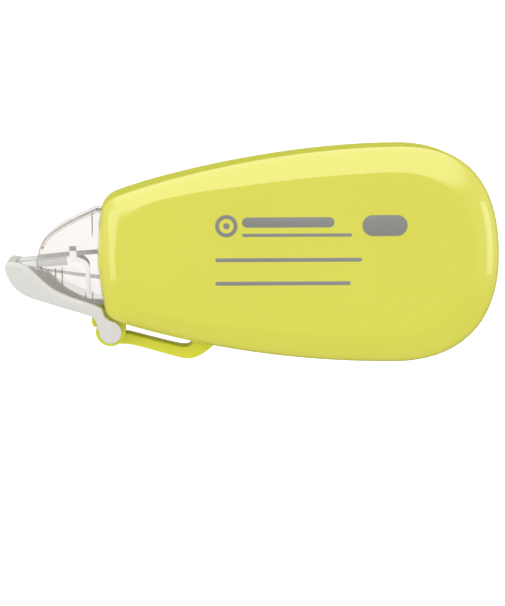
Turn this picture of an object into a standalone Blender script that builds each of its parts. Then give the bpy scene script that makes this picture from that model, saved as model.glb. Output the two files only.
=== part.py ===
"""Correction tape roller: a two-shell body, a clear snout with the applicator head, a hinged
head cap, and a supply reel that drives the take-up reel through a slip clutch and an idler.

Frame: +X runs from the cap's tip to the round end of the body, +Y from the front shell to the
rear shell, and +Z is up. The origin is under the middle of the object, on the surface that it
stands on. Lengths in this file are millimetres, turned into metres where a mesh is made.
"""

import math

import bmesh
import bpy
from mathutils import Matrix, Vector
from mathutils.geometry import interpolate_bezier

MM = 0.001

# Body
BODY_HALF_DEPTH = 7.7
WALL = 1.3
EDGE_WIDTH = 3.2           # rounded edge, measured across the face
EDGE_DEPTH = 3.0           # the same edge, measured along Y
PARTING_Y = -2.4
PARTING_GAP = 0.3
BODY_STEPS = 7             # points on each stretch of the body's outline
BODY_CENTRE = (6.0, 17.5)

# Outline nodes: x, z, heading in degrees, reach of the handle before and after the node.
# A corner is a node given twice with two headings.
BODY_NODES = [
    (39.05, 16.65, 90, 10.8, 11.4),
    (23.6, 34.4, 180, 10.5, 16.3),
    (-20.3, 27.3, 198.6, 9.8, 1.8),
    (-24.35, 22.3, 268, 3.9, 3.3),
    (-24.65, 16.75, 273, 2.7, 4.5),
    (-23.85, 9.9, 277, 5.0, 2.7),
    (-20.6, 6.3, 343, 1.8, 13.6),
    (22.5, 0.0, 360, 15.6, 10.4),
]

# Snout
SNOUT_HALF_DEPTH = 4.0
SNOUT_PLATE = 0.9
SNOUT_WALL = 0.65
SNOUT_ROOF = [(-21.2, 24.3, 180, 0, 0), (-24.9, 24.35, 180, 0.5, 0), (-24.9, 24.35, 205, 0, 1.5),
              (-30.4, 21.65, 211, 2.0, 2.0), (-33.85, 17.7, 257, 2.0, 0.8)]
SNOUT_LIP = [(-33.85, 17.7, 257, 0, 0.8), (-34.2, 15.5, 280, 0.4, 0.4), (-33.4, 14.65, 315, 0.5, 0)]
SNOUT_BELLY = [(-33.4, 14.65, 315, 0, 1.0), (-30.5, 11.75, 318, 1.0, 1.5), (-25.6, 9.2, 347, 1.5, 0),
               (-25.6, 9.2, 360, 0, 0), (-21.2, 9.2, 360, 0, 0)]
SNOUT_TAIL_X = -18.6
NOTCH_Z = (8.85, 24.75)
NOTCH_HALF_DEPTH = 4.2
JOIN_STEP = 0.06           # how far a joined wall stands back from the edge of what it joins
RAIL_THICK, LOOP_THICK = 0.7, 0.3
RIB_ROOT = 0.3             # how far a rib runs into its plate
RIB_STEP = 0.03            # each rib is this much deeper than the last, so that no two end faces meet
EDGE_CLEARANCE = 0.15      # ribs and wall stop this far from the edge of the tape and from the cover

# Applicator head, a blade with its nose in the cap
HEAD_HALF_DEPTH = 2.85
HEAD_NOSE = (-36.5, 15.7)
HEAD_NOSE_R = 0.25

# Guide posts for the tape, which also locate the shells and the snout
UPPER_GUIDE = (-13.0, 25.8)
FEED_GUIDE = (-20.6, 18.9)
RETURN_GUIDE = (-20.6, 14.0)
GUIDE_R = 1.0
GUIDE_CLEARANCE = 0.2

# Tape
TAPE_WIDTH = 5.0
TAPE_THICK = 0.12
TAPE_GAP = 0.24            # centre of the tape off the surface that it runs over

# Gears
MODULE = 0.6
BACKLASH = 0.1
PRESSURE_ANGLE = math.radians(20)
SUPPLY_TEETH, IDLER_TEETH, TAKEUP_TEETH = 46, 14, 20
GEAR_Y = (4.6, 6.1)
SUPPLY_AXIS = (21.9, 17.3)
REEL_SPACING = 27.6
TAKEUP_AXIS = (SUPPLY_AXIS[0] - REEL_SPACING, SUPPLY_AXIS[1])

# Reels
SUPPLY_POST_R, TAKEUP_POST_R, IDLER_POST_R = 2.0, 1.5, 1.0
BORE_CLEARANCE = 0.15
POST_END_Y = -4.9
SOCKET_END_Y = -4.45       # the front shell's sockets come down over the post ends
SOCKET_WALL = 0.8
HUB_R = 4.2
CORE_R = 6.5
SUPPLY_ROLL_R = 11.5
TAKEUP_CORE_R = 4.6
TAKEUP_NECK_R = 2.6
TAKEUP_ROLL_R = 5.6
SUPPLY_DISC_R, TAKEUP_DISC_R = 13.2, 9.3
DISC_THICK = 0.25
SLIDE = 0.15               # gap between a ring and the hub or core that it is slid onto

# Strap arm under the body
ARM_HALF_DEPTH = 2.2
ARM_TOP = [(-22.0, 4.6, 0, 0, 0), (-19.2, 4.25, 345, 0.8, 2.0), (-11.6, 2.3, 348, 2.0, 1.0),
           (-9.6, 2.9, 70, 0.7, 0), (-9.4, 4.0, 90, 0, 0)]
ARM_BOTTOM = [(-5.4, 3.2, 270, 0, 0), (-6.3, 2.3, 222, 0.2, 1.0), (-10.4, 0.25, 180, 1.8, 1.0),
              (-19.0, 2.5, 166, 3.0, 0.8), (-22.0, 2.7, 180, 0.6, 0)]

# Backstop pawl, from the rear shell to just clear of the take-up gear's teeth
PAWL_FOOT = [(-14.6, 5.1), (-13.0, 7.6)]
PAWL_TIP_R = 7.0
PAWL_TIP_HEADING = 228
PAWL_THICK = 0.7
PAWL_Y = (4.7, 6.0)

# Head cap and the chin it hinges on
HINGE = (-22.6, 4.9)
BULB_R = 1.74
STUB_R = 0.75
EYE_R = 2.4
EYE_HOLE_R = 0.9
CHIN_HALF_DEPTH = 3.6
CAP_HALF_DEPTH = 5.6
CAP_CHEEK = 1.3
CAP_WEB = 1.2

# The chin above the eye: up its back, and down its front past the lip that stops the open cap
CHIN_BACK = [(-20.3, 5.4), (-20.2, 6.8), (-23.4, 8.6), (-24.7, 8.6), (-25.55, 7.9), (-25.6, 6.2),
             (-25.3, 5.65), (-24.75, 5.6), (-24.6, 5.1)]

CAP_TOP = [(-39.0, 15.85, 60, 0, 0.25), (-38.2, 16.25, 0, 0.4, 0.8), (-35.2, 15.15, 315, 1.0, 1.2),
           (-32.0, 12.2, 322, 1.2, 2.0), (-25.0, 9.3, 340, 2.0, 0)]
CAP_KEEL = [(-25.55, 7.5, 162, 0, 2.5), (-35.2, 10.55, 160, 2.5, 1.6), (-38.6, 13.6, 113, 1.6, 0.8),
            (-39.1, 15.3, 90, 0.6, 0.2), (-39.0, 15.85, 60, 0.2, 0)]

YELLOW = ((0.78, 0.77, 0.105), 0.18)
CLEAR = ((0.90, 0.90, 0.88), 0.08)
WHITE = ((0.76, 0.75, 0.70), 0.30)


# ---------------------------------------------------------------- scene helpers

def clear_scene():
    for obj in list(bpy.data.objects):
        bpy.data.objects.remove(obj, do_unlink=True)


def new_collection(name, helper=False):
    made = bpy.data.collections.new(name)
    bpy.context.scene.collection.children.link(made)
    made.hide_render = helper
    return made


def new_material(name, colour, roughness, metallic=0.0, alpha=1.0):
    made = bpy.data.materials.new(name)
    made.use_nodes = True
    made.diffuse_color = (*colour, alpha)
    shader = made.node_tree.nodes["Principled BSDF"]
    shader.inputs["Base Color"].default_value = (*colour, 1.0)
    shader.inputs["Roughness"].default_value = roughness
    shader.inputs["Metallic"].default_value = metallic
    shader.inputs["Alpha"].default_value = alpha
    return made


def new_pivot(name, axis_point):
    """An empty on a joint's axis. What turns about the axis is parented to it."""
    pivot = bpy.data.objects.new(name, None)
    PARTS.objects.link(pivot)
    pivot.empty_display_size = 2 * MM
    pivot.location = (axis_point[0] * MM, 0, axis_point[1] * MM)
    return pivot


def add_object(name, mesh, finish=None, pivot=None):
    """A part if it has a finish, or else a helper that Booleans use."""
    obj = bpy.data.objects.new(name, mesh)
    (PARTS if finish else HELPERS).objects.link(obj)
    if finish:
        mesh.materials.clear()
        mesh.materials.append(finish)
    else:
        obj.hide_render = True
        obj.display_type = "WIRE"
    obj.parent = pivot
    return obj


def smooth(mesh, angle=35):
    mesh.shade_smooth()
    mesh.set_sharp_from_angle(angle=math.radians(angle))


def combine(target, others, operation):
    for other in others:
        modifier = target.modifiers.new(f"{operation.lower()} {other.name}", "BOOLEAN")
        modifier.operation = operation
        modifier.object = other
        modifier.solver = "EXACT"


# ---------------------------------------------------------------- outlines, as (x, z) lists

def trace(nodes, steps):
    """The open Bezier path through outline nodes."""
    path = [Vector((nodes[0][0], nodes[0][1]))]
    for (x0, z0, heading0, _, reach0), (x1, z1, heading1, reach1, _) in zip(nodes, nodes[1:]):
        start, end = Vector((x0, z0)), Vector((x1, z1))
        if (end - start).length < 1e-6:
            continue
        first = start + reach0 * direction(heading0)
        second = end - reach1 * direction(heading1)
        count = 2 if reach0 == reach1 == 0 else steps + 1
        path += interpolate_bezier(start, first, second, end, count)[1:]
    return [tuple(point) for point in path]


def direction(degrees):
    return Vector((math.cos(math.radians(degrees)), math.sin(math.radians(degrees))))


def arc(centre, radius, start, end, steps):
    angles = [start + (end - start) * i / steps for i in range(steps + 1)]
    return [tuple(Vector(centre) + radius * direction(angle)) for angle in angles]


def circle(centre, radius, steps):
    return arc(centre, radius, 0, 360, steps)[:-1]


def box(x_low, x_high, z_low, z_high):
    return [(x_low, z_low), (x_high, z_low), (x_high, z_high), (x_low, z_high)]


def beside(path, distance):
    """An open path moved to its left."""
    moved = []
    for i, point in enumerate(path):
        before, after = Vector(path[max(i - 1, 0)]), Vector(path[min(i + 1, len(path) - 1)])
        along = (after - before).normalized()
        moved.append(tuple(Vector(point) + distance * Vector((-along.y, along.x))))
    return moved


def strip(path, near, far):
    """The closed outline of a wall beside a path, between two distances to its left."""
    return beside(path, near) + beside(path, far)[::-1]


def inset(loop, distance, centre):
    """A convex loop moved inwards, each point along its own ray from the centre."""
    centre = Vector(centre)
    points = [Vector(point) for point in loop]
    sides = []
    for a, b in zip(points, points[1:] + points[:1]):
        along = (b - a).normalized()
        outward = Vector((along.y, -along.x))
        sides.append((outward, outward.dot(a - centre) - distance))
    moved = []
    for point in points:
        ray = (point - centre).normalized()
        reach = min(offset / outward.dot(ray) for outward, offset in sides if outward.dot(ray) > 1e-6)
        moved.append(tuple(centre + reach * ray))
    return moved


def tangent_line(first, second):
    """Both ends of the straight run of tape between two rollers.

    A roller is (centre, radius, turn): turn is +1 where the tape goes round it anticlockwise,
    seen from the front, and -1 where it goes round clockwise.
    """
    (a, radius_a, turn_a), (b, radius_b, turn_b) = first, second
    a, b = Vector(a), Vector(b)
    gap = b - a
    lean = math.asin((turn_a * radius_a - turn_b * radius_b) / gap.length)
    heading = math.atan2(gap.y, gap.x) + lean
    side = Vector((math.sin(heading), -math.cos(heading)))
    return a + side * turn_a * radius_a, b + side * turn_b * radius_b


def tape_path(rollers, steps=5):
    """The line of a tape round its rollers, from the first one's rim to the last one's rim."""
    runs = [tangent_line(a, b) for a, b in zip(rollers, rollers[1:])]
    path = [runs[0][0]]
    for (_, arrive), (leave, _), (centre, radius, turn) in zip(runs, runs[1:], rollers[1:]):
        centre = Vector(centre)
        start = math.degrees(math.atan2(*(arrive - centre).yx))
        end = math.degrees(math.atan2(*(leave - centre).yx))
        sweep = (end - start) * turn % 360 * turn
        path += [Vector(point) for point in arc(centre, radius, start, start + sweep, steps)]
    path.append(runs[-1][1])
    return [tuple(point) for point in path]


def gear_outline(teeth, phase):
    """An involute spur gear with one tooth's middle at the phase, in radians."""
    pitch_r = MODULE * teeth / 2
    root_r, tip_r = pitch_r - 1.25 * MODULE, pitch_r + MODULE
    base_r = pitch_r * math.cos(PRESSURE_ANGLE)
    half_tooth = math.pi / (2 * teeth) - BACKLASH / (4 * pitch_r)
    involute = lambda pressure: math.tan(pressure) - pressure
    flank = []
    for radius in (max(base_r, root_r + 0.05), pitch_r, tip_r):
        pressure = math.acos(min(base_r / radius, 1))
        flank.append((radius, half_tooth + involute(PRESSURE_ANGLE) - involute(pressure)))
    flank = [(root_r, flank[0][1] + 0.15 * MODULE / root_r)] + flank
    outline = []
    for tooth in range(teeth):
        middle = phase + 2 * math.pi * tooth / teeth
        for radius, half in flank:
            outline.append((radius * math.cos(middle - half), radius * math.sin(middle - half)))
        for radius, half in flank[::-1]:
            outline.append((radius * math.cos(middle + half), radius * math.sin(middle + half)))
    return outline


def meshing_phase(phase, teeth, other_teeth, line):
    """The phase of a gear in mesh with another, along a line at this angle between their axes."""
    share = 0.5 - (phase - line) * teeth / (2 * math.pi)
    return line + math.pi + share * 2 * math.pi / other_teeth


# ---------------------------------------------------------------- solids

def flat_solid(name, loops, y_near, y_far, finish=None, pivot=None):
    """A flat outline, with holes for any further loops, between two depths.

    The loops are in the object's own x and z, which start at the pivot if there is one.
    """
    curve = bpy.data.curves.new(name, "CURVE")
    curve.dimensions = "2D"
    curve.fill_mode = "BOTH"
    curve.extrude = (y_far - y_near) / 2 * MM
    for loop in loops:
        spline = curve.splines.new("POLY")
        spline.points.add(len(loop) - 1)
        for point, (x, z) in zip(spline.points, loop):
            point.co = (x * MM, z * MM, 0, 1)
        spline.use_cyclic_u = True
    drawn = bpy.data.objects.new(name, curve)
    HELPERS.objects.link(drawn)
    bpy.context.view_layer.update()
    mesh = bpy.data.meshes.new_from_object(drawn.evaluated_get(bpy.context.evaluated_depsgraph_get()))
    bpy.data.objects.remove(drawn, do_unlink=True)
    bpy.data.curves.remove(curve)
    stand_up = Matrix.Translation((0, (y_near + y_far) / 2 * MM, 0)) @ Matrix.Rotation(math.pi / 2, 4, "X")
    mesh.transform(stand_up)
    bm = bmesh.new()
    bm.from_mesh(mesh)
    bmesh.ops.remove_doubles(bm, verts=bm.verts, dist=1e-7)
    bmesh.ops.recalc_face_normals(bm, faces=bm.faces)
    bm.to_mesh(mesh)
    bm.free()
    smooth(mesh)
    mesh.name = name
    return add_object(name, mesh, finish, pivot)


def turned_solid(name, profile, steps, finish=None, pivot=None):
    """A ring turned about the pivot's Y axis, from a closed profile of (radius, y).

    The profile goes down the outer side, towards -Y, and back up the bore.
    """
    mesh = bpy.data.meshes.new(name)
    count = len(profile)
    mesh.from_pydata([(radius * MM, 0, y * MM) for radius, y in profile],
                     [(i, (i + 1) % count) for i in range(count)], [])
    obj = add_object(name, mesh, finish, pivot)
    obj.rotation_euler.x = -math.pi / 2
    screw = obj.modifiers.new("turn", "SCREW")
    screw.axis = "Z"
    screw.steps = screw.render_steps = steps
    screw.use_merge_vertices = True
    screw.merge_threshold = 1e-6
    screw.use_smooth_shade = True
    return obj


def ring(name, r_in, r_out, y_near, y_far, steps, finish=None, pivot=None):
    return turned_solid(name, [(r_out, y_far), (r_out, y_near), (r_in, y_near), (r_in, y_far)],
                        steps, finish, pivot)


def post(name, centre, radius, y_near, y_far, steps=20, finish=None, pivot=None):
    bm = bmesh.new()
    bmesh.ops.create_cone(bm, cap_ends=True, segments=steps, radius1=radius * MM, radius2=radius * MM,
                          depth=(y_far - y_near) * MM)
    place = Matrix.Translation((centre[0] * MM, (y_near + y_far) / 2 * MM, centre[1] * MM))
    bmesh.ops.transform(bm, matrix=place @ Matrix.Rotation(math.pi / 2, 4, "X"), verts=bm.verts)
    mesh = bpy.data.meshes.new(name)
    bm.to_mesh(mesh)
    bm.free()
    return add_object(name, mesh, finish, pivot)


def dish(name, outline, y_face, y_rim, finish):
    """Half a casing: a flat face, a rounded edge and a side wall, open at its rim."""
    toward_rim = math.copysign(1, y_rim - y_face)
    rings = [(0, y_rim)]
    edge_steps = 4
    for step in range(edge_steps + 1):
        turn = math.pi / 2 * step / edge_steps
        rings.append((EDGE_WIDTH * (1 - math.cos(turn)),
                      y_face + toward_rim * EDGE_DEPTH * (1 - math.sin(turn))))
    bm = bmesh.new()
    loops = []
    for distance, y in rings:
        ring_points = inset(outline, distance, BODY_CENTRE)
        loops.append([bm.verts.new((x * MM, y * MM, z * MM)) for x, z in ring_points])
    for low, high in zip(loops, loops[1:]):
        for i in range(len(low)):
            j = (i + 1) % len(low)
            bm.faces.new((low[i], low[j], high[j], high[i]))
    bm.faces.new(loops[-1])
    bmesh.ops.recalc_face_normals(bm, faces=bm.faces)
    if sum(face.normal.y * face.calc_area() for face in bm.faces) * toward_rim > 0:
        bmesh.ops.reverse_faces(bm, faces=bm.faces)
    mesh = bpy.data.meshes.new(name)
    bm.to_mesh(mesh)
    bm.free()
    smooth(mesh)
    obj = add_object(name, mesh, finish)
    solidify = obj.modifiers.new("wall", "SOLIDIFY")
    solidify.thickness = WALL * MM
    solidify.offset = -1
    solidify.use_even_offset = True
    return obj


def ribbon(name, path, finish):
    """A tape standing on edge along a path of (x, z)."""
    return flat_solid(name, [strip(path, 0, TAPE_THICK)], -TAPE_WIDTH / 2, TAPE_WIDTH / 2, finish)


# ---------------------------------------------------------------- the casing

def wall_point(outline, x, upper):
    """A point of the outline at this x, and the heading of the wall there."""
    candidates = []
    for a, b in zip(outline, outline[1:] + outline[:1]):
        if min(a[0], b[0]) <= x < max(a[0], b[0]):
            share = (x - a[0]) / (b[0] - a[0])
            candidates.append((a[1] + share * (b[1] - a[1]), math.atan2(b[1] - a[1], b[0] - a[0])))
    z, heading = max(candidates) if upper else min(candidates)
    return Vector((x, z)), heading


def snap_tab(name, foot, heading):
    """A tongue on the front shell that springs in behind the rear shell's wall."""
    along = Vector((math.cos(heading), math.sin(heading)))
    inward = Vector((-along.y, along.x))

    def block(label, half_length, from_wall, to_wall, y_near, y_far):
        corners = box(-half_length, half_length, from_wall, to_wall)
        loop = [tuple(foot + along * run + inward * depth) for run, depth in corners]
        return flat_solid(f"{name} {label}", [loop], y_near, y_far)

    return [block("root", 1.8, WALL - 0.4, WALL + 1.1, -5.6, PARTING_Y - 0.5),
            block("tongue", 2.2, WALL + 0.3, WALL + 1.0, -5.0, PARTING_Y + 2.0)]


def make_front_shell(outline, finish):
    shell = dish("front_shell", outline, -BODY_HALF_DEPTH, PARTING_Y - PARTING_GAP / 2, finish)
    notch = flat_solid("front notch", [box(-27, -21.5, *NOTCH_Z)], -NOTCH_HALF_DEPTH, 0)
    combine(shell, [notch], "DIFFERENCE")
    sockets = []
    for label, axis, radius in POSTS:
        if label == "idler":
            continue
        bore = radius + BORE_CLEARANCE
        pivot = new_pivot(f"{label}_socket_axis", axis)
        sockets.append(ring(f"{label} socket", bore, bore + SOCKET_WALL, WALL / 2 - BODY_HALF_DEPTH,
                            SOCKET_END_Y, 20, pivot=pivot))
    tabs = snap_tab("upper tab", *wall_point(outline, 2.0, True))
    tabs += snap_tab("lower tab", *wall_point(outline, 4.0, False))
    combine(shell, sockets + tabs, "UNION")
    return shell


def make_rear_shell(outline, finish):
    shell = dish("rear_shell", outline, BODY_HALF_DEPTH, PARTING_Y + PARTING_GAP / 2, finish)
    notch = flat_solid("rear notch", [box(-27, -21.5, *NOTCH_Z)], -3, NOTCH_HALF_DEPTH)
    combine(shell, [notch], "DIFFERENCE")
    posts = [post(f"{label} post", axis, radius, 3.2 if label == "idler" else POST_END_Y,
                  BODY_HALF_DEPTH - WALL / 2) for label, axis, radius in POSTS]

    arm = flat_solid("strap arm", [trace(ARM_TOP, 4) + trace(ARM_BOTTOM, 4)], -ARM_HALF_DEPTH, ARM_HALF_DEPTH)
    chin_outline = arc(HINGE, EYE_R, 185, 360, 12) + CHIN_BACK
    chin = flat_solid("chin", [chin_outline], -CHIN_HALF_DEPTH, CHIN_HALF_DEPTH)
    front_room = flat_solid("room for the front shell", [inset(outline, -PARTING_GAP, BODY_CENTRE)],
                            -BODY_HALF_DEPTH, PARTING_Y + PARTING_GAP / 2 - JOIN_STEP)
    combine(chin, [front_room], "DIFFERENCE")
    pawl_tip = Vector(TAKEUP_AXIS) + PAWL_TIP_R * direction(PAWL_TIP_HEADING)
    pawl = flat_solid("backstop pawl", [strip(PAWL_FOOT + [tuple(pawl_tip)], 0, PAWL_THICK)], *PAWL_Y)
    combine(shell, posts + [arm, chin, pawl], "UNION")
    eye = post("hinge eye", HINGE, EYE_HOLE_R, -CHIN_HALF_DEPTH - 1, CHIN_HALF_DEPTH + 1, 16)
    combine(shell, [eye], "DIFFERENCE")
    return shell


# ---------------------------------------------------------------- the snout and the head

def snout_outline(steps):
    roof, lip, belly = (trace(nodes, steps) for nodes in (SNOUT_ROOF, SNOUT_LIP, SNOUT_BELLY))
    tail = [(SNOUT_TAIL_X, belly[-1][1] + 2), (SNOUT_TAIL_X, roof[0][1] - 1.2)]
    return roof + lip[1:] + belly[1:] + tail, roof, belly


def snout_ribs():
    """Low ribs that steer the tape's edges: a post and a rail on each plate, a loop on the far one."""
    rail = trace([(-28.6, 16.2, 350, 0, 0.6), (-26.5, 14.9, 270, 0.9, 0), (-26.5, 10.7, 270, 0, 0)], 4)
    loop = [(-31.1, 14.6)] + arc((-30.65, 11.9), 0.45, 180, 360, 6) + [(-30.2, 14.6)]
    return [("post", box(-29.0, -27.9, 16.0, 17.7)), ("rail", strip(rail, 0, RAIL_THICK)),
            ("loop", strip(loop, -LOOP_THICK, 0))]


def make_snout(finish):
    outline, roof, belly = snout_outline(5)
    guide_holes = [circle(guide, GUIDE_R + GUIDE_CLEARANCE, 16) for guide in (FEED_GUIDE, RETURN_GUIDE)]
    inner_y = SNOUT_HALF_DEPTH - SNOUT_PLATE
    cover = flat_solid("snout_cover", [outline] + guide_holes, -SNOUT_HALF_DEPTH, -inner_y, finish)
    frame = flat_solid("snout_frame", [outline] + guide_holes, inner_y, SNOUT_HALF_DEPTH, finish)
    for side, shell in ((-1, cover), (1, frame)):
        ribs = snout_ribs()
        if shell is cover:
            ribs.pop()
        for order, (label, rib) in enumerate(ribs):
            step = RIB_STEP * order
            ys = sorted((side * (TAPE_WIDTH / 2 + EDGE_CLEARANCE + step), side * (inner_y + RIB_ROOT + step)))
            combine(shell, [flat_solid(f"{shell.name} {label}", [rib], *ys)], "UNION")
    wall_ys = (EDGE_CLEARANCE - inner_y, inner_y + RIB_ROOT + 0.1)
    walls = [flat_solid("snout roof", [strip(roof[:-1], JOIN_STEP, SNOUT_WALL)], *wall_ys),
             flat_solid("snout belly", [strip(belly[2:], JOIN_STEP, SNOUT_WALL)], *wall_ys)]
    combine(frame, walls, "UNION")
    return cover, frame


def make_head(finish):
    nose = arc(HEAD_NOSE, HEAD_NOSE_R, 95, 265, 6)
    blade = nose + [(-34.3, 15.15), (-29.35, 15.5), (-29.35, 16.45), (-34.0, 16.05)]
    return flat_solid("applicator_head", [blade[::-1]], -HEAD_HALF_DEPTH, HEAD_HALF_DEPTH, finish)


def make_tapes(feed_finish, return_finish):
    off_guide = GUIDE_R + TAPE_GAP
    nose = (HEAD_NOSE, HEAD_NOSE_R + TAPE_GAP, 1)
    nose_left = (Vector(HEAD_NOSE) + Vector((-HEAD_NOSE_R - TAPE_GAP, 0.12)), 0.01, 1)
    nose_right = (Vector(HEAD_NOSE) + Vector((-HEAD_NOSE_R - TAPE_GAP, -0.12)), 0.01, 1)
    feed = tape_path([(SUPPLY_AXIS, SUPPLY_ROLL_R + TAPE_GAP, 1), (UPPER_GUIDE, off_guide, 1),
                      (FEED_GUIDE, off_guide + TAPE_THICK, -1), nose, nose_left])
    back = tape_path([nose_right, nose, (RETURN_GUIDE, off_guide, 1),
                      (TAKEUP_AXIS, TAKEUP_ROLL_R + TAPE_GAP, 1)])
    ribbon("feed_tape", feed[::-1], feed_finish)
    ribbon("return_tape", back[::-1], return_finish)


# ---------------------------------------------------------------- the reels and their gears

def toothed_plate(name, teeth, phase, hole_r, pivot, finish=None):
    return flat_solid(name, [gear_outline(teeth, phase), circle((0, 0), hole_r, 24)], *GEAR_Y, finish, pivot)


def make_supply(pivot, gear_finish, reel_finish, tape_finish, rubber_finish, film_finish):
    gear = toothed_plate("supply_gear", SUPPLY_TEETH, SUPPLY_PHASE, HUB_R - 1.0, pivot, gear_finish)
    bore = SUPPLY_POST_R + BORE_CLEARANCE
    combine(gear, [ring("supply hub", bore, HUB_R, -4.1, GEAR_Y[1] - 0.2, 32, pivot=pivot)], "UNION")
    ring("clutch_ring", HUB_R + SLIDE, HUB_R + 1.05, -2.2, 2.2, 32, rubber_finish, pivot)
    ring("supply_retainer", HUB_R + SLIDE, HUB_R + 2.4, -4.0, -3.45, 32, gear_finish, pivot)

    reel_pivot = new_pivot("supply_reel_axis", SUPPLY_AXIS)
    ring("supply_core", HUB_R + 1.2, CORE_R, -2.8, 2.8, 36, reel_finish, reel_pivot)
    ring("supply_tape_roll", CORE_R + SLIDE, SUPPLY_ROLL_R, -TAPE_WIDTH / 2, TAPE_WIDTH / 2, 48, tape_finish,
         reel_pivot)
    for side, low in (("front", -3.0 - DISC_THICK), ("rear", 3.0)):
        ring(f"supply_disc_{side}", HUB_R + 2 * SLIDE, SUPPLY_DISC_R, low, low + DISC_THICK, 40, film_finish,
             reel_pivot)


def make_takeup(pivot, phase, gear_finish, tape_finish, film_finish):
    bore = TAKEUP_POST_R + BORE_CLEARANCE
    spool = toothed_plate("takeup_spool", TAKEUP_TEETH, phase, TAKEUP_NECK_R, pivot, gear_finish)
    profile = [(3.4, GEAR_Y[1] - 0.2), (3.4, 3.5), (TAKEUP_CORE_R, 3.5), (TAKEUP_CORE_R, -2.85),
               (TAKEUP_NECK_R, -2.85), (TAKEUP_NECK_R, -4.0), (bore, -4.0), (bore, GEAR_Y[1] - 0.2)]
    combine(spool, [turned_solid("takeup core", profile, 28, pivot=pivot)], "UNION")
    ring("takeup_roll", TAKEUP_CORE_R + SLIDE, TAKEUP_ROLL_R, -TAPE_WIDTH / 2, TAPE_WIDTH / 2, 32,
         tape_finish, pivot)
    ring("takeup_disc_rear", TAKEUP_CORE_R + SLIDE, TAKEUP_DISC_R, 2.85, 2.85 + DISC_THICK, 36,
         film_finish, pivot)
    ring("takeup_disc_front", TAKEUP_NECK_R + SLIDE, TAKEUP_DISC_R, -3.0 - DISC_THICK, -3.0, 36,
         film_finish, pivot)
    ring("takeup_retainer", TAKEUP_NECK_R + SLIDE, TAKEUP_NECK_R + 1.6, -3.95, -3.4, 28, gear_finish, pivot)


# ---------------------------------------------------------------- the head cap

def make_cap(pivot, finish):
    """Two cheeks that hold the hinge stubs, and a web round the keel and the tip."""
    def from_hinge(path):
        return [(x - HINGE[0], z - HINGE[1]) for x, z in path]

    neck = ([(-23.95, 8.8), (-23.5, 7.45), (-22.75, 6.85), (-21.75, 6.5)]
            + arc(HINGE, BULB_R, 58, -180, 16) + [(-24.75, 6.2), (-25.1, 7.0)])
    keel = trace(CAP_KEEL, 5)
    cheek = from_hinge(trace(CAP_TOP, 5) + neck + keel[:-1])
    inner_y = CAP_HALF_DEPTH - CAP_CHEEK
    web_top = (-38.95, 15.95)
    web_path = from_hinge([point for point in trace(CAP_KEEL[:-1], 4) if point[0] < -26.5] + [web_top])
    web_half_depth = inner_y + 0.9
    cap = flat_solid("head_cap", [strip(web_path, -CAP_WEB, -JOIN_STEP)], -web_half_depth, web_half_depth,
                     finish, pivot)
    helpers = [flat_solid("near cheek", [cheek], -CAP_HALF_DEPTH, -inner_y, pivot=pivot),
               flat_solid("far cheek", [cheek], inner_y, CAP_HALF_DEPTH, pivot=pivot)]
    for label, y_near, y_far in (("near", -inner_y - 0.5, -1.2), ("far", 1.2, inner_y + 0.5)):
        helpers.append(post(f"{label} stub", (0, 0), STUB_R, y_near, y_far, 16, pivot=pivot))
    combine(cap, helpers, "UNION")
    return cap


# ---------------------------------------------------------------- assembly

clear_scene()
PARTS = new_collection("Correction tape roller")
HELPERS = new_collection("Cutters and joined shapes", helper=True)

yellow = new_material("lime shell", *YELLOW)
clear = new_material("clear plastic", *CLEAR, alpha=0.35)
white = new_material("white cap", *WHITE)
gear_grey = new_material("gear plastic", (0.62, 0.63, 0.65), 0.45)
reel_white = new_material("reel plastic", (0.78, 0.78, 0.76), 0.4)
film = new_material("reel film", (0.80, 0.82, 0.84), 0.15, alpha=0.4)
coated_tape = new_material("correction tape", (0.86, 0.86, 0.84), 0.6)
liner = new_material("carrier film", (0.55, 0.55, 0.53), 0.3)
rubber = new_material("clutch rubber", (0.05, 0.05, 0.05), 0.8)

# The idler sits above the line between the reels, in mesh with both of their gears.
supply_to_idler = MODULE * (SUPPLY_TEETH + IDLER_TEETH) / 2
idler_to_takeup = MODULE * (IDLER_TEETH + TAKEUP_TEETH) / 2
back_along = (supply_to_idler ** 2 - idler_to_takeup ** 2 + REEL_SPACING ** 2) / (2 * REEL_SPACING)
IDLER_AXIS = (SUPPLY_AXIS[0] - back_along, SUPPLY_AXIS[1] + math.sqrt(supply_to_idler ** 2 - back_along ** 2))
POSTS = [("supply", SUPPLY_AXIS, SUPPLY_POST_R), ("takeup", TAKEUP_AXIS, TAKEUP_POST_R),
         ("idler", IDLER_AXIS, IDLER_POST_R), ("upper guide", UPPER_GUIDE, GUIDE_R),
         ("feed guide", FEED_GUIDE, GUIDE_R), ("return guide", RETURN_GUIDE, GUIDE_R)]

SUPPLY_PHASE = 0.0
line_to_idler = math.atan2(IDLER_AXIS[1] - SUPPLY_AXIS[1], IDLER_AXIS[0] - SUPPLY_AXIS[0])
line_to_takeup = math.atan2(TAKEUP_AXIS[1] - IDLER_AXIS[1], TAKEUP_AXIS[0] - IDLER_AXIS[0])
idler_phase = meshing_phase(SUPPLY_PHASE, SUPPLY_TEETH, IDLER_TEETH, line_to_idler)
takeup_phase = meshing_phase(idler_phase, IDLER_TEETH, TAKEUP_TEETH, line_to_takeup)

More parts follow.
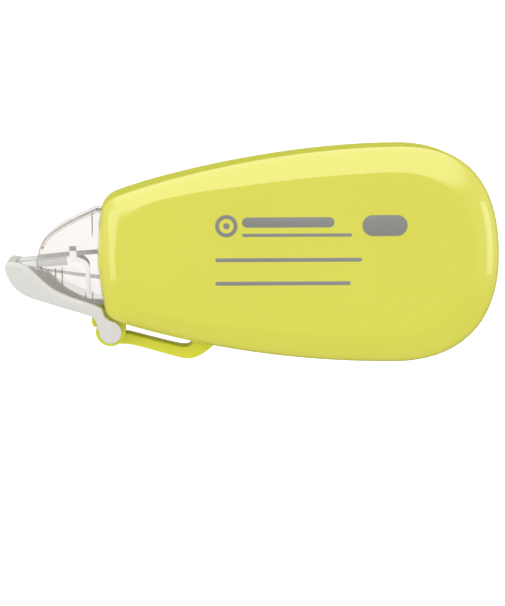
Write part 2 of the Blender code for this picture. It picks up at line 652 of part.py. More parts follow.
body_outline = trace(BODY_NODES + BODY_NODES[:1], BODY_STEPS)[:-1]
make_front_shell(body_outline, yellow)
make_rear_shell(body_outline, yellow)
make_snout(clear)
make_head(clear)
make_tapes(coated_tape, liner)
make_supply(new_pivot("supply_gear_axis", SUPPLY_AXIS), gear_grey, reel_white, coated_tape, rubber, film)
toothed_plate("idler_gear", IDLER_TEETH, idler_phase, IDLER_POST_R + BORE_CLEARANCE,
              new_pivot("idler_axis", IDLER_AXIS), gear_grey)
make_takeup(new_pivot("takeup_axis", TAKEUP_AXIS), takeup_phase, gear_grey, liner, film)
make_cap(new_pivot("head_cap_hinge", HINGE), white)
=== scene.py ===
"""Looks for the correction tape roller: finer shells, snout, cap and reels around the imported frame.

Lengths are millimetres in the part's frame (+X to the round end, +Y to the rear shell, +Z up),
turned into metres where a mesh is made. Outlines are lists of (x, z), as in the part.
"""

import math

import bmesh
import bpy
import numpy as np
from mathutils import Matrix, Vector
from mathutils.geometry import interpolate_bezier


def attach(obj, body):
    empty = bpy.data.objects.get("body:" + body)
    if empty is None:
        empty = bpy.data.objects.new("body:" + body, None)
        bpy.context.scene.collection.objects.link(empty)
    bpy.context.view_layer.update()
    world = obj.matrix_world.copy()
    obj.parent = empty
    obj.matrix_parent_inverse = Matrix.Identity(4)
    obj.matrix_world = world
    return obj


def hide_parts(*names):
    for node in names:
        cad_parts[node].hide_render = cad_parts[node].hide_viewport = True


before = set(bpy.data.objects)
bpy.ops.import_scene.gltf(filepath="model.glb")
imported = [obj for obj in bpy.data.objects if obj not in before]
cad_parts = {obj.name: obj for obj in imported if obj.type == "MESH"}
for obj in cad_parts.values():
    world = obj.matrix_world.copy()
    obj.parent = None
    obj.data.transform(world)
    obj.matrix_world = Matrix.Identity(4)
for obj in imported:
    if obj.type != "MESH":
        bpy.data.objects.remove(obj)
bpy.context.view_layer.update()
MM = 0.001

# Body, from the part
BODY_HALF_DEPTH = 7.7
WALL = 1.3
PARTING_Y = -2.4
PARTING_GAP = 0.3
BODY_CENTRE = (6.0, 17.5)
BODY_NODES = [
    (39.05, 16.65, 90, 10.8, 11.4), (23.6, 34.4, 180, 10.5, 16.3),
    (-20.3, 27.3, 198.6, 9.8, 1.8), (-24.35, 22.3, 268, 3.9, 3.3),
    (-24.65, 16.75, 273, 2.7, 4.5), (-23.85, 9.9, 277, 5.0, 2.7),
    (-20.6, 6.3, 343, 1.8, 13.6), (22.5, 0.0, 360, 15.6, 10.4),
]
MOUTH_X = (-27.0, -21.5)
MOUTH_Z = (8.85, 24.75)
MOUTH_HALF_DEPTH = 4.2
MOUTH_CORNER = 0.5
MOUTH_REACH = 3.0           # how far each half's cutter passes the middle

# Snout, head and guides, from the part
SNOUT_HALF_DEPTH = 4.0
SNOUT_PLATE = 0.9
SNOUT_WALL = 0.65
SNOUT_ROOF = [(-21.2, 24.3, 180, 0, 0), (-24.9, 24.35, 180, 0.5, 0), (-24.9, 24.35, 205, 0, 1.5),
              (-30.4, 21.65, 211, 2.0, 2.0), (-33.85, 17.7, 257, 2.0, 0.8)]
SNOUT_LIP = [(-33.85, 17.7, 257, 0, 0.8), (-34.2, 15.5, 280, 0.4, 0.4),
             (-33.4, 14.65, 315, 0.5, 0)]
SNOUT_BELLY = [(-33.4, 14.65, 315, 0, 1.0), (-30.5, 11.75, 318, 1.0, 1.5),
               (-25.6, 9.2, 347, 1.5, 0), (-25.6, 9.2, 360, 0, 0), (-21.2, 9.2, 360, 0, 0)]
SNOUT_TAIL_X = -18.6
HEAD_HALF_DEPTH = 2.85
HEAD_NOSE = (-36.5, 15.7)
HEAD_NOSE_R = 0.25
UPPER_GUIDE = (-13.0, 25.8)
FEED_GUIDE = (-20.6, 18.9)
RETURN_GUIDE = (-20.6, 14.0)
GUIDE_R = 1.0
TAPE_WIDTH = 5.0

# Gears and reels, from the part
MODULE = 0.6
SUPPLY_TEETH, IDLER_TEETH, TAKEUP_TEETH = 46, 14, 20
SUPPLY_AXIS = (21.9, 17.3)
REEL_SPACING = 27.6
TAKEUP_AXIS = (SUPPLY_AXIS[0] - REEL_SPACING, SUPPLY_AXIS[1])
POST_END_Y = -4.9

# Head cap, chin and strap arm, from the part
HINGE = (-22.6, 4.9)
BULB_R = 1.74
STUB_R = 0.75
EYE_R = 2.4
EYE_HOLE_R = 0.9
CHIN_HALF_DEPTH = 3.6
ARM_HALF_DEPTH = 2.2
CAP_HALF_DEPTH = 5.6
CAP_CHEEK = 1.3
CAP_WEB = 1.2
CAP_TOP = [(-39.0, 15.85, 60, 0, 0.25), (-38.2, 16.25, 0, 0.4, 0.8), (-35.2, 15.15, 315, 1.0, 1.2),
           (-32.0, 12.2, 322, 1.2, 2.0), (-25.0, 9.3, 340, 2.0, 0)]
CAP_KEEL = [(-25.55, 7.5, 162, 0, 2.5), (-35.2, 10.55, 160, 2.5, 1.6),
            (-38.6, 13.6, 113, 1.6, 0.8), (-39.1, 15.3, 90, 0.6, 0.2),
            (-39.0, 15.85, 60, 0.2, 0)]
CHIN_BACK = [(-20.3, 5.4), (-20.2, 6.8), (-23.4, 8.6), (-24.7, 8.6), (-25.55, 7.9), (-25.6, 6.2),
             (-25.3, 5.65), (-24.75, 5.6), (-24.6, 5.1)]
ARM_TOP = [(-22.0, 4.6, 0, 0, 0), (-19.2, 4.25, 345, 0.8, 2.0), (-11.6, 2.3, 348, 2.0, 1.0),
           (-9.6, 2.9, 70, 0.7, 0), (-9.4, 4.0, 90, 0, 0)]
ARM_BOTTOM = [(-5.4, 3.2, 270, 0, 0), (-6.3, 2.3, 222, 0.2, 1.0), (-10.4, 0.25, 180, 1.8, 1.0),
              (-19.0, 2.5, 166, 3.0, 0.8), (-22.0, 2.7, 180, 0.6, 0)]

# Fineness
RAYS = 512                  # points round each ring of a shell
FINE = 14                   # points on each stretch of an outline
TURNS = 128                 # steps round a turned piece


# ---------------------------------------------------------------- outlines

def direction(degrees):
    return np.array([math.cos(math.radians(degrees)), math.sin(math.radians(degrees))])


def trace(nodes, steps=FINE):
    """The open Bezier path through outline nodes of (x, z, heading, reach in, reach out)."""
    path = [np.array(nodes[0][:2], float)]
    for (x0, z0, heading0, _, reach0), (x1, z1, heading1, reach1, _) in zip(nodes, nodes[1:]):
        start, end = np.array([x0, z0]), np.array([x1, z1])
        if np.linalg.norm(end - start) < 1e-6:
            continue
        first, second = start + reach0 * direction(heading0), end - reach1 * direction(heading1)
        if reach0 == reach1 == 0:
            path += list(np.linspace(start, end, steps + 1)[1:])
        else:
            curve = interpolate_bezier(*map(Vector, (start, first, second, end)), steps + 1)
            path += [np.array(point[:2]) for point in curve[1:]]
    return path


def arc(centre, radius, start, end, steps=24):
    return [np.array(centre) + radius * direction(angle)
            for angle in np.linspace(start, end, steps + 1)]


def circle(centre, radius, steps=64):
    return arc(centre, radius, 0, 360, steps)[:-1]


def resampled(loop, spacing, corner=28):
    """A closed outline with even points, which keeps its corners."""
    loop = [p for p, q in zip(loop, loop[-1:] + loop[:-1]) if np.linalg.norm(p - q) > 1e-5]
    sides = [q - p for p, q in zip(loop, loop[1:] + loop[:1])]
    turn = [abs(math.degrees(math.atan2(a[0] * b[1] - a[1] * b[0], a @ b)))
            for a, b in zip(sides[-1:] + sides[:-1], sides)]
    kept = [i for i, angle in enumerate(turn) if angle > corner] or [0]
    points = []
    for i, j in zip(kept, kept[1:] + [kept[0] + len(loop)]):
        run = np.array([loop[k % len(loop)] for k in range(i, j + 1)])
        along = np.r_[0, np.cumsum(np.linalg.norm(np.diff(run, axis=0), axis=1))]
        count = max(1, round(along[-1] / spacing))
        at = np.linspace(0, along[-1], count + 1)[:-1]
        points += list(np.c_[np.interp(at, along, run[:, 0]), np.interp(at, along, run[:, 1])])
    return np.array(points)


def beside(path, distance):
    """An open path moved to its left."""
    path = np.array(path)
    along = np.gradient(path, axis=0)
    along /= np.linalg.norm(along, axis=1)[:, None]
    return list(path + distance * np.c_[-along[:, 1], along[:, 0]])


def strip(path, near, far):
    return beside(path, near) + beside(path, far)[::-1]


def anticlockwise(loop):
    loop = np.array(loop)
    area = np.sum(loop[:, 0] * np.roll(loop[:, 1], -1) - np.roll(loop[:, 0], -1) * loop[:, 1])
    return loop if area > 0 else loop[::-1]


def inward_normals(loop):
    sides = np.roll(loop, -1, axis=0) - loop
    sides /= np.linalg.norm(sides, axis=1)[:, None]
    mean = sides + np.roll(sides, 1, axis=0)
    mean /= np.maximum(np.linalg.norm(mean, axis=1), 1e-9)[:, None]
    return np.c_[-mean[:, 1], mean[:, 0]]


def room_inside(loop, normals, furthest, tries=40):
    """How far each point can move in before another part of the outline is nearer."""
    ends = np.roll(loop, -1, axis=0)
    sides = ends - loop
    lengths = np.maximum((sides ** 2).sum(1), 1e-12)
    room = np.full(len(loop), furthest)
    open_ = np.ones(len(loop), bool)
    for step in np.linspace(furthest / tries, furthest, tries):
        moved = loop + normals * step
        gap = moved[:, None] - loop[None]
        share = np.clip((gap * sides[None]).sum(2) / lengths[None], 0, 1)
        nearest = np.linalg.norm(gap - share[..., None] * sides[None], axis=2).min(1)
        blocked = open_ & (nearest < step * 0.93)
        room[blocked] = step - furthest / tries
        open_ &= ~blocked
    return room


# ---------------------------------------------------------------- meshes

def add_mesh(name, points, faces, material, sharp=32):
    """A closed mesh from points in millimetres, with its faces turned out."""
    mesh = bpy.data.meshes.new(name)
    mesh.from_pydata((np.array(points) * MM).tolist(), [], faces)
    bm = bmesh.new()
    bm.from_mesh(mesh)
    bmesh.ops.remove_doubles(bm, verts=bm.verts, dist=1e-7)
    bmesh.ops.dissolve_degenerate(bm, edges=bm.edges, dist=1e-7)
    bmesh.ops.recalc_face_normals(bm, faces=bm.faces)
    if bm.calc_volume(signed=True) < 0:
        bmesh.ops.reverse_faces(bm, faces=bm.faces)
    bm.to_mesh(mesh)
    bm.free()
    mesh.shade_smooth()
    mesh.set_sharp_from_angle(angle=math.radians(sharp))
    obj = bpy.data.objects.new(name, mesh)
    bpy.context.scene.collection.objects.link(obj)
    mesh.materials.append(material)
    return obj


def lofted(name, rings, material, closed=False, sharp=32):
    """A surface through rings of equal count. An open run of rings is capped at both ends."""
    count = len(rings[0])
    points = np.concatenate(rings)
    faces = []
    pairs = list(zip(range(len(rings)), list(range(1, len(rings))) + ([0] if closed else [])))
    for low, high in pairs:
        for i in range(count):
            j = (i + 1) % count
            faces.append((low * count + i, low * count + j, high * count + j, high * count + i))
    if not closed:
        faces.append(list(range(count))[::-1])
        faces.append([(len(rings) - 1) * count + i for i in range(count)])
    return add_mesh(name, points, faces, material, sharp)


def at_depth(loop, y):
    return np.c_[loop[:, 0], np.full(len(loop), y), loop[:, 1]]


def slab(name, loop, y_near, y_far, material, near=(0.15, 0.15), far=(0.15, 0.15), spacing=0.16,
         steps=5, narrows=None):
    """A flat outline between two depths. near and far are the (width, depth) of the rounded edges.

    narrows is (x, x, share): from the first x to the second, the width falls to that share.
    """
    loop = anticlockwise(resampled([np.array(p, float) for p in loop], spacing))
    normals = inward_normals(loop)
    widest = max(near[0], far[0]) * 1.05
    room = room_inside(loop, normals, widest)
    for _ in range(3):
        room = np.minimum(room, (np.roll(room, 1) + room + np.roll(room, -1)) / 3)
    rings = []
    scale = 1.0
    if narrows:
        share = np.clip((loop[:, 0] - narrows[0]) / (narrows[1] - narrows[0]), 0, 1)
        scale = 1 - (1 - narrows[2]) * share
    for (width, depth), y, into in ((near, y_near, 1), (far, y_far, -1)):
        side = []
        for turn in np.linspace(0, math.pi / 2, steps + 1):
            inset = np.minimum(scale * width * (1 - math.sin(turn)), room * 0.92)
            ring = loop + normals * inset[:, None]
            side.append(at_depth(ring, y + into * depth * (1 - math.cos(turn))))
        rings += side if into > 0 else side[::-1]
    return lofted(name, rings, material)


def turned(name, profile, axis, material, steps=TURNS, rounding=0.08):
    """A ring turned about a Y axis from a closed profile of (radius, y), its corners rounded."""
    corners = np.array(profile, float)
    rounded = []
    for before, here, after in zip(np.roll(corners, 1, axis=0), corners, np.roll(corners, -1, axis=0)):
        back, on = before - here, after - here
        reach = min(rounding, 0.35 * np.linalg.norm(back), 0.35 * np.linalg.norm(on))
        start = here + back / np.linalg.norm(back) * reach
        end = here + on / np.linalg.norm(on) * reach
        for share in np.linspace(0, 1, 4):
            rounded.append((1 - share) ** 2 * start + 2 * share * (1 - share) * here + share ** 2 * end)
    rings = []
    for radius, y in rounded:
        angles = np.linspace(0, 2 * math.pi, steps, endpoint=False)
        rings.append(np.c_[axis[0] + radius * np.cos(angles), np.full(steps, y),
                           axis[1] + radius * np.sin(angles)])
    return lofted(name, rings, material, closed=True)


def pin(name, axis, radius, y_near, y_far, material, rounding=0.25, steps=64):
    """A solid round pin along Y with rounded ends."""
    rings = []
    for y, into in ((y_near, 1), (y_far, -1)):
        side = []
        for turn in np.linspace(0, math.pi / 2, 6):
            ring = np.array(circle(axis, radius - rounding * (1 - math.sin(turn)), steps))
            side.append(at_depth(ring, y + into * rounding * (1 - math.cos(turn))))
        rings += side if into > 0 else side[::-1]
    return lofted(name, rings, material)


def cut(obj, cutters):
    """Boolean the cutters out of obj, and drop them. The result has only the first material."""
    for cutter in cutters:
        modifier = obj.modifiers.new("cut", "BOOLEAN")
        modifier.operation, modifier.object, modifier.solver = "DIFFERENCE", cutter, "EXACT"
    bpy.context.view_layer.update()
    graph = bpy.context.evaluated_depsgraph_get()
    mesh = bpy.data.meshes.new_from_object(obj.evaluated_get(graph))
    obj.modifiers.clear()
    material = obj.data.materials[0]
    obj.data = mesh
    mesh.materials.clear()
    mesh.materials.append(material)
    for polygon in mesh.polygons:
        polygon.material_index = 0
    for cutter in cutters:
        bpy.data.objects.remove(cutter, do_unlink=True)
    mesh.shade_smooth()
    mesh.set_sharp_from_angle(angle=math.radians(32))
    return obj


def place(obj, body, slot, *nodes):
    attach(obj, body)
    if nodes:
        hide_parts(*nodes)
    return obj


# ---------------------------------------------------------------- materials

DEPTH_DENSITY = 90.0        # per metre of clear plastic

def plastic(name, colour, roughness, grain=0.0, grain_scale=900.0, coat=0.0, mottle=0.03,
            transmission=0.0, ior=1.49, depth_colour=None, level=0.5, painted_glow=0.0):
    """Moulded plastic: a slight cloudiness in the colour, fine surface grain and a polish that varies.

    The last argument is a little emission: painted light, which lifts the shade that parts lie in
    inside the clear snout and between the cap's cheeks.
    """
    made = bpy.data.materials.new(name)
    made.use_nodes = True
    nodes, links = made.node_tree.nodes, made.node_tree.links
    shader = nodes["Principled BSDF"]
    shader.inputs["IOR"].default_value = ior
    shader.inputs["Specular IOR Level"].default_value = level
    shader.inputs["Transmission Weight"].default_value = transmission
    shader.inputs["Coat Weight"].default_value = coat
    shader.inputs["Coat Roughness"].default_value = 0.07
    shader.inputs["Emission Color"].default_value = (1, 1, 1, 1)
    shader.inputs["Emission Strength"].default_value = painted_glow
    place_ = nodes.new("ShaderNodeTexCoord")

    cloud = nodes.new("ShaderNodeTexNoise")
    cloud.inputs["Scale"].default_value = 55.0
    cloud.inputs["Detail"].default_value = 3.0
    links.new(place_.outputs["Object"], cloud.inputs["Vector"])
    ramp = nodes.new("ShaderNodeValToRGB")
    ramp.color_ramp.elements[0].position, ramp.color_ramp.elements[1].position = 0.3, 0.7
    dark = [c * (1 - mottle) for c in colour]
    light = [min(1.0, c * (1 + mottle)) for c in colour]
    ramp.color_ramp.elements[0].color = (*dark, 1)
    ramp.color_ramp.elements[1].color = (*light, 1)
    links.new(cloud.outputs["Fac"], ramp.inputs["Fac"])
    links.new(ramp.outputs["Color"], shader.inputs["Base Color"])

    polish = nodes.new("ShaderNodeMapRange")
    polish.inputs["To Min"].default_value = roughness * 0.85
    polish.inputs["To Max"].default_value = min(1.0, roughness * 1.25 + 0.01)
    links.new(cloud.outputs["Fac"], polish.inputs["Value"])
    links.new(polish.outputs["Result"], shader.inputs["Roughness"])

    if grain:
        fine = nodes.new("ShaderNodeTexNoise")
        fine.inputs["Scale"].default_value = grain_scale
        fine.inputs["Detail"].default_value = 2.0
        links.new(place_.outputs["Object"], fine.inputs["Vector"])
        bump = nodes.new("ShaderNodeBump")
        bump.inputs["Strength"].default_value = grain
        bump.inputs["Distance"].default_value = 0.00005
        links.new(fine.outputs["Fac"], bump.inputs["Height"])
        links.new(bump.outputs["Normal"], shader.inputs["Normal"])
    if depth_colour:
        depth = nodes.new("ShaderNodeVolumeAbsorption")
        depth.inputs["Color"].default_value = (*depth_colour, 1)
        depth.inputs["Density"].default_value = DEPTH_DENSITY
        links.new(depth.outputs["Volume"], nodes["Material Output"].inputs["Volume"])
    return made


def wound_tape(name, axis, colour, groove):
    """Tape on a reel: its side shows the turns as fine rings of slightly different tone."""
    made = plastic(name, colour, 0.45)
    nodes, links = made.node_tree.nodes, made.node_tree.links
    shader = nodes["Principled BSDF"]
    texture = nodes["Noise Texture"]
    where = texture.inputs["Vector"].links[0].from_socket
    middle = nodes.new("ShaderNodeVectorMath")
    middle.operation = "SUBTRACT"
    middle.inputs[1].default_value = (axis[0] * MM, 0, axis[1] * MM)
    links.new(where, middle.inputs[0])
    flat = nodes.new("ShaderNodeVectorMath")
    flat.operation = "MULTIPLY"
    flat.inputs[1].default_value = (1, 0, 1)
    links.new(middle.outputs["Vector"], flat.inputs[0])
    radius = nodes.new("ShaderNodeVectorMath")
    radius.operation = "LENGTH"
    links.new(flat.outputs["Vector"], radius.inputs[0])
    turns = nodes.new("ShaderNodeMath")
    turns.operation = "MULTIPLY"
    turns.inputs[1].default_value = 2 * math.pi / (groove * MM)
    links.new(radius.outputs["Value"], turns.inputs[0])
    wave = nodes.new("ShaderNodeMath")
    wave.operation = "SINE"
    links.new(turns.outputs["Value"], wave.inputs[0])
    bump = nodes.new("ShaderNodeBump")
    bump.inputs["Strength"].default_value = 0.35
    bump.inputs["Distance"].default_value = 0.00004
    links.new(wave.outputs["Value"], bump.inputs["Height"])
    links.new(bump.outputs["Normal"], shader.inputs["Normal"])
    return made


LIME = plastic("lime shell plastic", (0.755, 0.735, 0.085), 0.16, grain=0.04, coat=0.9, mottle=0.008)
# The side wall's colour is darker than the face's: painted shade for the dark line along the
# silhouette. Its higher roughness and low specular make the moulded side duller.
SHADED_SIDE_LIME = plastic("lime side plastic with painted shade", (0.66, 0.67, 0.04), 0.35, grain=0.05, mottle=0.008, level=0.06)
ARM_LIME = plastic("lime arm plastic", (0.735, 0.735, 0.058), 0.42, grain=0.06, mottle=0.01, level=0.2)
CLEAR = plastic("clear snout plastic", (0.94, 0.925, 0.915), 0.02, transmission=1.0, ior=1.5,
                mottle=0.002, depth_colour=(0.74, 0.70, 0.63))
# Emission here and on the grey, edge-line, blade and cap plastics below is painted light: it lifts the
# shade that these parts lie in inside the clear snout and between the cap's cheeks.
MILKY = plastic("milky rib plastic", (0.95, 0.95, 0.94), 0.12, grain=0.04, coat=0.3, mottle=0.01,
                painted_glow=0.45)
# Painted shade: a grey used for the far post and rail, which are the same milky plastic as the near
# ones, and for the belly wall of the clear snout.
SHADE_GREY = plastic("painted shade grey plastic", (0.62, 0.575, 0.49), 0.12, mottle=0.03, painted_glow=0.12)
# Painted shade: a grey-brown for the dark lines along the clear snout's edges and on its thin loop and
# step ribs.
EDGE_SHADE = plastic("grey edge shade plastic", (0.62, 0.56, 0.46), 0.25, mottle=0.02, painted_glow=0.1)
# The blade's and the cap's emission is painted light; the cap's base colour is set lower to keep its
# tone with the emission added.
HEAD = plastic("head plastic", (0.80, 0.80, 0.77), 0.22, transmission=0.15, mottle=0.02, painted_glow=0.2)
WHITE = plastic("white cap plastic", (0.615, 0.60, 0.56), 0.30, grain=0.10, coat=0.05, mottle=0.01,
                painted_glow=0.115)
GEAR = plastic("acetal gear plastic", (0.62, 0.63, 0.65), 0.38, grain=0.15)
REEL = plastic("white reel plastic", (0.80, 0.80, 0.78), 0.32, grain=0.12)
FILM = plastic("disc film", (0.93, 0.95, 0.97), 0.06, transmission=0.85, ior=1.45, mottle=0.01)
RUBBER = plastic("clutch rubber", (0.03, 0.03, 0.03), 0.75, grain=0.5, grain_scale=1500.0, mottle=0.2)
TAPE = plastic("white tape coating", (0.86, 0.86, 0.84), 0.55, grain=0.35, grain_scale=2500.0)
LINER = plastic("stripped carrier film", (0.97, 0.97, 0.97), 0.08, transmission=0.9, ior=1.35,
                mottle=0.01)
SUPPLY_WOUND = wound_tape("wound correction tape", SUPPLY_AXIS, (0.84, 0.84, 0.82), 0.12)
LINER_WOUND = wound_tape("wound carrier film", TAKEUP_AXIS, (0.50, 0.50, 0.48), 0.12)
INK = plastic("grey print", (0.265, 0.27, 0.25), 0.35, grain=0.2, grain_scale=3000.0, mottle=0.05)


# ---------------------------------------------------------------- the casing

OUTLINE = anticlockwise(resampled(trace(BODY_NODES + BODY_NODES[:1], 40)[:-1], 0.2, corner=60))


def body_ring(distances):
    """The body's outline moved in by a distance for each ray, smoothed where it bends tightly."""
    centre = np.array(BODY_CENTRE)
    ends = np.roll(OUTLINE, -1, axis=0)
    sides = ends - OUTLINE
    sides /= np.linalg.norm(sides, axis=1)[:, None]
    outward = np.c_[sides[:, 1], -sides[:, 0]]
    offsets = (outward * (OUTLINE - centre)).sum(1)
    facing = RAY_WAYS @ outward.T
    reach = (offsets[None] - np.asarray(distances)[:, None]) / np.where(facing > 1e-6, facing, np.nan)
    radius = np.nanmin(reach, axis=1)
    depth = float(np.mean(distances))
    if depth > 0.05:
        spread = int(2 + 3.2 * depth)
        kernel = np.exp(-0.5 * (np.arange(-2 * spread, 2 * spread + 1) / spread) ** 2)
        kernel /= kernel.sum()
        padded = np.r_[radius[-2 * spread:], radius, radius[:2 * spread]]
        radius = np.convolve(padded, kernel, mode="valid")
    return centre + RAY_WAYS * radius[:, None]


def ray_directions():
    """Rays from the body's centre to points spaced evenly along its outline."""
    run = np.r_[OUTLINE, OUTLINE[:1]]
    along = np.r_[0, np.cumsum(np.linalg.norm(np.diff(run, axis=0), axis=1))]
    at = np.linspace(0, along[-1], RAYS, endpoint=False)
    points = np.c_[np.interp(at, along, run[:, 0]), np.interp(at, along, run[:, 1])]
    ways = points - np.array(BODY_CENTRE)
    return ways / np.linalg.norm(ways, axis=1)[:, None]


RAY_WAYS = ray_directions()
EDGE_NARROW, EDGE_WIDE = 2.75, 4.2
EDGE_DEPTH = 3.2
EDGE_STEPS = 18
CREASE = 40                 # degrees of the edge's ellipse left out, which leaves a crease at the face
FACE_SINK = 0.07            # how much lower the slightly crowned face is at the crease
LIP_R = 0.14


def edge_widths():
    """The rounded edge is wider over the top and round the right end than at the snout."""
    x = body_ring(np.zeros(RAYS))[:, 0]
    share = np.clip((x + 22) / 26, 0, 1)
    return EDGE_NARROW + (EDGE_WIDE - EDGE_NARROW) * share * share * (3 - 2 * share)


def mouth_cutter(out):
    """Half of the mouth that the snout sits in, with its outer corners rounded."""
    low, high = MOUTH_Z
    y_corner = out * (MOUTH_HALF_DEPTH - MOUTH_CORNER)
    section = [(-out * MOUTH_REACH, low)]
    for z, start in ((low + MOUTH_CORNER, -90), (high - MOUTH_CORNER, 0)):
        for across, up in map(direction, np.linspace(start, start + 90, 6)):
            section.append((y_corner + out * MOUTH_CORNER * across, z + MOUTH_CORNER * up))
    section.append((-out * MOUTH_REACH, high))
    return lofted("mouth", [np.array([(x, y, z) for y, z in section]) for x in MOUTH_X], LIME)


def shell(name, y_face, y_rim, stands_back, tongue, y_dull_shaded):
    """Half of the casing: a face with a rounded edge, a side wall, a rolled rim and the inside.

    stands_back is how far the rim's inner step is set in, tongue is how far it reaches past the
    rim. The last argument is where the glossy edge gives way to the side wall, which is duller and
    painted darker: painted shade.
    """
    out = math.copysign(1, y_face)
    widths = edge_widths()
    none = np.zeros(RAYS)
    rings = []
    # Face: nearly flat, with a very slight crown.
    face, centre = body_ring(widths * 1.03), np.array(BODY_CENTRE)
    for share in (0.08, 0.2, 0.35, 0.5, 0.65, 0.8, 0.92):
        rings.append(at_depth(centre + (face - centre) * share,
                              y_face - out * FACE_SINK * share ** 2 * 0.85))
    # Edge: from the crease, where the face ends, round to the side wall.
    rings.append(at_depth(body_ring(widths * 1.015), y_face - out * (FACE_SINK - 0.012)))
    start = math.radians(CREASE)
    for angle in np.linspace(start, math.pi / 2, EDGE_STEPS + 1):
        out_share = (math.sin(angle) - math.sin(start)) / (1 - math.sin(start))
        down_share = (math.cos(start) - math.cos(angle)) / math.cos(start)
        rings.append(at_depth(body_ring(widths * (1 - out_share)),
                              y_face - out * (FACE_SINK + (EDGE_DEPTH - FACE_SINK) * down_share)))
    y_side = y_face - out * EDGE_DEPTH
    for share in (0.35, 0.7):
        rings.append(at_depth(body_ring(none), y_side + (y_rim - y_side) * share))
    for turn in np.linspace(0, math.pi / 2, 5):
        rings.append(at_depth(body_ring(none + LIP_R * (1 - math.cos(turn))),
                              y_rim + out * LIP_R * (1 - math.sin(turn))))
    for turn in np.linspace(math.pi / 2, 0, 4)[1:]:
        rings.append(at_depth(body_ring(none + stands_back - LIP_R * 0.5 * (1 - math.cos(turn))),
                              y_rim + out * LIP_R * 0.5 * (1 - math.sin(turn))))
    if tongue:
        rings.append(at_depth(body_ring(none + stands_back), y_rim - out * tongue))
        rings.append(at_depth(body_ring(none + stands_back + 0.08), y_rim - out * (tongue + 0.08)))
        rings.append(at_depth(body_ring(none + WALL - 0.05), y_rim - out * (tongue + 0.08)))
    rings.append(at_depth(body_ring(none + WALL), y_rim + out * 0.4))
    for turn in np.linspace(0, 1, 8):
        angle = turn * math.pi / 2
        inner = WALL + np.maximum(widths - WALL * 0.6, 1.0) * (1 - math.cos(angle)) * 0.9
        rings.append(at_depth(body_ring(inner),
                              y_side + (y_face - out * WALL - y_side) * math.sin(angle)))
    full = rings[-1][:, [0, 2]]
    for share in (0.6, 0.2):
        rings.append(at_depth(centre + (full - centre) * share, y_face - out * WALL))
    made = lofted(name, rings, LIME)
    cut(made, [mouth_cutter(out)])
    # From here out the side wall takes the darker side plastic: painted shade over a duller surface.
    made.data.materials.append(SHADED_SIDE_LIME)
    for polygon in made.data.polygons:
        if out * polygon.center.y / MM < out * y_dull_shaded:
            polygon.material_index = 1
    return made


SIDE_Y = BODY_HALF_DEPTH - EDGE_DEPTH
place(shell("front_casing", -BODY_HALF_DEPTH, PARTING_Y - PARTING_GAP / 2, stands_back=0.62,
            tongue=0.75, y_dull_shaded=-SIDE_Y - 0.4), "case", "lime_shell", "front_shell")
place(shell("rear_casing", BODY_HALF_DEPTH, PARTING_Y + PARTING_GAP / 2, stands_back=0.5,
            tongue=0.0, y_dull_shaded=SIDE_Y), "case", "lime_shell", "rear_shell")

# The strap arm and the chin that the cap hinges on.
arm = slab("strap_arm", trace(ARM_TOP) + trace(ARM_BOTTOM), -ARM_HALF_DEPTH, ARM_HALF_DEPTH, ARM_LIME,
           near=(0.3, 0.3), far=(0.3, 0.3))
place(arm, "case", "lime_shell", "rear_shell")
chin_outline = arc(HINGE, EYE_R, 185, 360) + [np.array(p) for p in CHIN_BACK]
chin = slab("hinge_chin", chin_outline, -CHIN_HALF_DEPTH, CHIN_HALF_DEPTH, ARM_LIME,
            near=(0.25, 0.25), far=(0.25, 0.25))
cut(chin, [pin("eye", HINGE, EYE_HOLE_R, -CHIN_HALF_DEPTH - 1, CHIN_HALF_DEPTH + 1, LIME)])
place(chin, "case", "lime_shell", "rear_shell")

supply_to_idler = MODULE * (SUPPLY_TEETH + IDLER_TEETH) / 2
idler_to_takeup = MODULE * (IDLER_TEETH + TAKEUP_TEETH) / 2
back_along = (supply_to_idler ** 2 - idler_to_takeup ** 2 + REEL_SPACING ** 2) / (2 * REEL_SPACING)
IDLER_AXIS = (SUPPLY_AXIS[0] - back_along,
              SUPPLY_AXIS[1] + math.sqrt(supply_to_idler ** 2 - back_along ** 2))
for label, axis, radius, y_near in (
        ("supply", SUPPLY_AXIS, 2.0, POST_END_Y), ("takeup", TAKEUP_AXIS, 1.5, POST_END_Y),
        ("idler", IDLER_AXIS, 1.0, 3.2), ("upper_guide", UPPER_GUIDE, GUIDE_R, POST_END_Y),
        ("feed_guide", FEED_GUIDE, GUIDE_R, POST_END_Y),
        ("return_guide", RETURN_GUIDE, GUIDE_R, POST_END_Y)):
    place(pin(f"{label}_post", axis, radius, y_near, BODY_HALF_DEPTH - WALL * 0.5, LIME),
          "case", "lime_shell", "rear_shell")


# A generic pictogram printed on the face: a reel, its stripes, a tab and two ruled lines.
REEL_MARK = (-4.35, 21.95)
PRINT_Y = (-BODY_HALF_DEPTH - 0.015, -BODY_HALF_DEPTH + 0.12)


def bar(x_low, x_high, z_middle, height):
    half = height / 2
    return (arc((x_high - half, z_middle), half, -90, 90)
            + arc((x_low + half, z_middle), half, 90, 270))


def stamped(name, loop):
    place(slab(name, loop, *PRINT_Y, INK, near=(0.01, 0.01), far=(0.01, 0.01), steps=2), "case", None)


